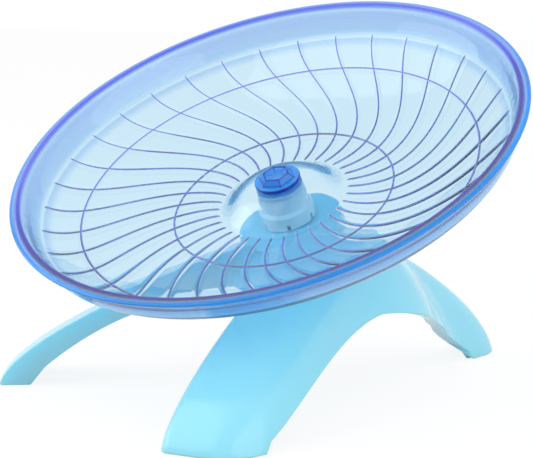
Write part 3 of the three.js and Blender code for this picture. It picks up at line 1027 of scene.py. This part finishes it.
# Less clear where the painted shade and the rim's painted colours are shown as opaque colour
def dish_clearness(shader):
    ridge = shader.math("POWER", shader.attribute("ridge"), RIDGE_POWER)
    ridge = shader.math("MULTIPLY", ridge, RIDGE_PAINTED_SHADE_SHARE)
    crest = shader.math("MULTIPLY", shader.attribute("crest"), CREST_PAINTED_REFRACTION_SHARE)
    band = shader.math("MULTIPLY", shader.attribute("band"), BAND_TINT_AND_PAINTED_REFRACTION_SHARE)
    body = shader.math("MAXIMUM", ridge, shader.math("MAXIMUM", crest, band))
    return shader.math("SUBTRACT", 1, body)


# The cap's colour: a tone that varies at random, with painted shade as navy on its edges and corners
def cap_base(shader):
    tint = shader.noise(scale=300, detail=1)
    body = shader.mix(tint, srgb(CAP_LIGHT_COLOR), srgb(CAP_DARK_COLOR))
    return shader.mix(shader.attribute("edge"), body, srgb(CAP_EDGE_PAINTED_SHADE_COLOR))


# Less clear where the painted shade on the edges is shown as opaque colour
def cap_clearness(shader):
    edge = shader.math("MULTIPLY", shader.attribute("edge"), CAP_EDGE_PAINTED_SHADE_SHARE)
    return shader.math("SUBTRACT", 1, shader.math("MAXIMUM", edge, CAP_BODY_SHARE))


def moulded_plastic(name, light, dark, roughness, coat, subsurface, scatter):
    """Cloudy moulded plastic with a soft glow inside and a clear gloss."""
    material, shader = new_material(name)
    cloud = shader.noise(scale=25, detail=3)
    fine = shader.noise(scale=220, detail=2)
    shader.surface(shader.node(
        "BsdfPrincipled",
        Base_Color=shader.mix(cloud, srgb(light), srgb(dark)),
        Roughness=shader.ranged(fine, low=roughness, span=roughness / 2),
        IOR=1.5,
        Subsurface_Weight=subsurface,
        Subsurface_Radius=scatter,
        Subsurface_Scale=MM,
        Coat_Weight=coat,
        Coat_Roughness=0.14,
        Normal=shader.bump(fine, strength=0.04),
    ))
    return material


def milky_plastic(name, light, dark, shadow):
    """Cloudy plastic that lets a little light through."""
    material, shader = new_material(name)
    cloud = shader.noise(scale=120, detail=3)
    fine = shader.noise(scale=1500, detail=2)
    shader.surface_with_veil(shader.node(
        "BsdfPrincipled",
        Base_Color=shader.mix(cloud, srgb(light), srgb(dark)),
        Roughness=shader.ranged(fine, low=0.08, span=0.1),
        IOR=1.45,
        Transmission_Weight=0.2,
        Normal=shader.bump(cloud, strength=0.1),
    ), shadow)
    return material


def turned_metal(name, light, dark, roughness):
    """Metal with fine turning marks."""
    material, shader = new_material(name)
    marks = shader.noise(scale=2500, detail=3)
    shader.surface(shader.node(
        "BsdfPrincipled",
        Base_Color=shader.mix(marks, srgb(light), srgb(dark)),
        Metallic=1,
        Roughness=shader.ranged(marks, low=roughness / 2, span=roughness),
        Normal=shader.bump(marks, strength=0.05),
    ))
    return material


def dress(piece, material):
    piece.data.materials.clear()
    piece.data.materials.append(material)


dish_look = clear_plastic(
    "dish_plastic",
    base=dish_base,
    clearness=dish_clearness,
    absorb_color=(0, 206, 240),
    absorb_density=195,
    shadow=(200, 242, 252),
    roughness=0.04,
    ripple=0.03,
)
cap_look = clear_plastic(
    "cap_plastic",
    base=cap_base,
    clearness=cap_clearness,
    absorb_color=(0, 215, 252),
    absorb_density=250,
    shadow=(130, 205, 250),
    roughness=0.05,
    ripple=0.05,
)
housing_look = milky_plastic(
    "housing_plastic",
    light=(250, 253, 253),
    dark=(238, 248, 250),
    shadow=(225, 240, 245),
)
stand_look = moulded_plastic(
    "stand_plastic",
    light=(150, 227, 246),
    dark=(138, 221, 242),
    roughness=0.16,
    coat=0.3,
    subsurface=0.3,
    scatter=(2, 3, 4),
)
nut_look = moulded_plastic(
    "nut_plastic",
    light=(70, 178, 205),
    dark=(58, 165, 195),
    roughness=0.3,
    coat=0.2,
    subsurface=0.1,
    scatter=(1, 1.5, 2),
)
cage_look = moulded_plastic(
    "cage_nylon",
    light=(230, 225, 210),
    dark=(220, 214, 198),
    roughness=0.4,
    coat=0,
    subsurface=0.2,
    scatter=(1, 1, 1),
)
steel_look = turned_metal(
    "bearing_steel",
    light=(205, 208, 212),
    dark=(190, 194, 199),
    roughness=0.2,
)
shield_look = turned_metal(
    "shield_steel",
    light=(165, 170, 176),
    dark=(150, 155, 162),
    roughness=0.3,
)
axle_look = turned_metal(
    "axle_steel",
    light=(185, 189, 194),
    dark=(170, 175, 181),
    roughness=0.2,
)

dish = build_dish()
dress(dish, dish_look)
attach(dish, "spinner")
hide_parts("running_dish")

cap = build_cap()
dress(cap, cap_look)
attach(cap, "spinner")
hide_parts("hub_cap")

housing = build_housing()
dress(housing, housing_look)
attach(housing, "spinner")
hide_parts("hub_housing")

nut = build_nut()
dress(nut, nut_look)
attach(nut, "base")
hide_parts("axle_nut")

stand = build_stand()
dress(stand, stand_look)
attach(stand, "base")
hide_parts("stand")

kept_looks = {
    "outer_race": steel_look,
    "inner_race": steel_look,
    "upper_shield": shield_look,
    "lower_shield": shield_look,
    "bearing_cage": cage_look,
    "nut_washer": steel_look,
    "seat_washer": steel_look,
    "axle": axle_look,
}
for name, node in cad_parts.items():
    if name.startswith("ball_"):
        dress(node, steel_look)
    elif name in kept_looks:
        dress(node, kept_looks[name])


# Floor, world, lamps and camera
def build_floor():
    reach = FLOOR_REACH
    points = [(-reach, -reach, 0), (reach, -reach, 0), (reach, reach, 0), (-reach, reach, 0)]
    floor = make_object("floor", points, [(0, 1, 2, 3)], lambda point: point)
    floor.location.z = -FLOOR_GAP * MM
    material, shader = new_material("floor_white")
    seen = shader.seen()
    color = shader.mix(seen, srgb(FLOOR_COLOR), srgb(FLOOR_SEEN_COLOR))
    diffuse = shader.node("BsdfDiffuse", Color=color)
    strength = shader.math("MULTIPLY", seen, FLOOR_GLOW)
    glow = shader.node("Emission", Color=WHITE, Strength=strength)
    shader.surface(shader.blend("AddShader", diffuse, glow))
    dress(floor, material)


def build_world():
    world = bpy.data.worlds.new("studio")
    bpy.context.scene.world = world
    shader = Shader(world, "OutputWorld")
    light = shader.node("Background", Color=WHITE, Strength=WORLD_LIGHT)
    backdrop = shader.node("Background", Color=WHITE, Strength=WORLD_SEEN)
    both = shader.blend("MixShader", light, backdrop)
    shader.feed(both.inputs[0], shader.seen())
    shader.surface(both)


def aim(item, place, direction):
    """Puts a lamp or camera in its place and points it along a direction."""
    bpy.context.scene.collection.objects.link(item)
    item.location = Vector(place) * MM
    item.rotation_mode = "QUATERNION"
    item.rotation_quaternion = direction.to_track_quat("-Z", "Y")


def add_lamp(name, place, target, width, power):
    data = bpy.data.lights.new(name, "AREA")
    data.shape = "DISK"
    data.size = width * MM
    data.energy = power
    aim(bpy.data.objects.new(name, data), place, Vector(target) - Vector(place))


def build_camera():
    data = bpy.data.cameras.new("camera")
    data.lens = CAMERA_LENS
    data.sensor_width = SENSOR_WIDTH
    data.clip_start = CLIP_START * MM
    data.clip_end = CLIP_END * MM
    camera = bpy.data.objects.new("camera", data)
    aim(camera, CAMERA_PLACE, Vector((
        -math.sin(CAMERA_TURN) * math.cos(CAMERA_DIP),
        math.cos(CAMERA_TURN) * math.cos(CAMERA_DIP),
        -math.sin(CAMERA_DIP),
    )))
    bpy.context.scene.camera = camera


build_floor()
build_world()
for name, lamp in LAMPS.items():
    add_lamp(name, **lamp)
build_camera()
bpy.context.scene.view_settings.view_transform = "Standard"
